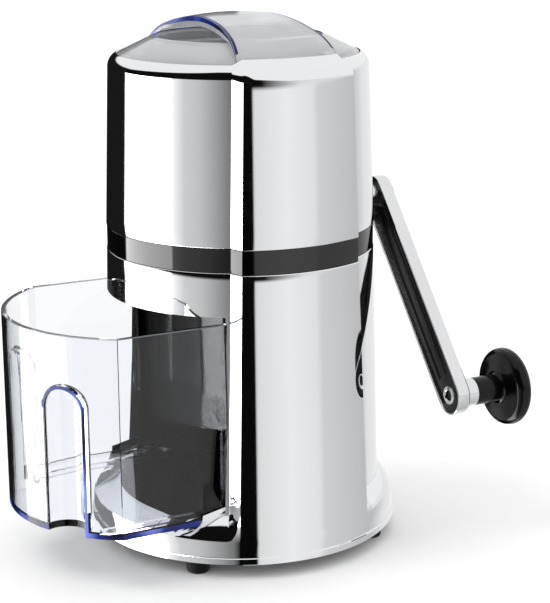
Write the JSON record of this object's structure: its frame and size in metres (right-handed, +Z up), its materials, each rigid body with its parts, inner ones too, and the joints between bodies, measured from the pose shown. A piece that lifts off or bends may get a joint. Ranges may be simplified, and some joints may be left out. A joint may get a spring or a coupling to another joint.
{
  "type": "hand-cranked ice crusher",
  "caption": "Free-standing hand-cranked ice crusher: chrome drum body with a rotor and combs inside, pull-out clear ice tray, lift-off clear lid and a side crank with a turning knob.",
  "frame": {"origin": "on the body's upright axis, in the plane of the feet's undersides", "axes": "+Z up; -Y is the front, where the tray pulls out; +Y is the crank's side; +X and -X are the raised side panels"},
  "size_m": [0.1732, 0.2395, 0.2648],
  "materials": {
    "chrome_shell": "polished chrome plating",
    "dark_band": "glossy near-black plastic",
    "black_plastic": "fine matte black plastic",
    "rubber": "grey-black rubber",
    "clear_plastic": "clear, faintly blue plastic",
    "chamber_plastic": "dark grey plastic",
    "hopper_plastic": "light grey plastic",
    "bush_plastic": "natural acetal plastic",
    "steel": "ground steel",
    "blade_steel": "stamped stainless steel",
    "chrome_arm": "polished chrome plating",
    "washer_plastic": "black plastic",
    "insert_plastic": "satin black plastic",
    "knob_plastic": "glossy black plastic"
  },
  "bodies": {
    "housing": {"lower_housing": "chrome_shell", "upper_housing": "chrome_shell", "middle_band": "dark_band", "base_plate": "black_plastic", "tray_bay": "black_plastic", "rubber_feet": "rubber", "crushing_chamber": "chamber_plastic", "hopper": "hopper_plastic", "front_bush": "bush_plastic", "rear_bush": "bush_plastic", "housing_screws": "steel", "base_screws": "steel", "chamber_screws": "steel", "comb_screws": "steel", "crushing_comb_right": "blade_steel", "crushing_comb_left": "blade_steel"},
    "crank": {"drive_shaft": "steel", "shaft_clip": "steel", "thrust_washer": "steel", "rotor_blade_1": "blade_steel", "rotor_blade_2": "blade_steel", "rotor_blade_3": "blade_steel", "rotor_blade_4": "blade_steel", "rotor_blade_5": "blade_steel", "rotor_spacers": "bush_plastic", "crank_arm": "chrome_arm", "arm_insert": "insert_plastic", "hub_screw": "steel", "knob_washer": "washer_plastic", "knob_collar": "chrome_arm", "knob_axle": "steel", "knob_nut": "steel"},
    "knob": {"crank_knob": "knob_plastic"},
    "tray": {"ice_tray": "clear_plastic"},
    "lid": {"lid": "clear_plastic"}
  },
  "joints": [
    {"name": "crank_turn", "type": "hinge", "parent": "housing", "child": "crank", "pos_m": [0, 0.077, 0.167], "axis": [0, 1, 0], "continuous": true},
    {"name": "knob_spin", "type": "hinge", "parent": "crank", "child": "knob", "pos_m": [0.07551, 0.09, 0.07828], "axis": [0, 1, 0], "continuous": true},
    {"name": "tray_slide", "type": "slide", "parent": "housing", "child": "tray", "axis": [0, -1, 0], "range_m": [-0.0565, 0.085]},
    {"name": "lid_lift", "type": "slide", "parent": "housing", "child": "lid", "axis": [0, 0, 1], "range_m": [0, 0.08]}
  ]
}
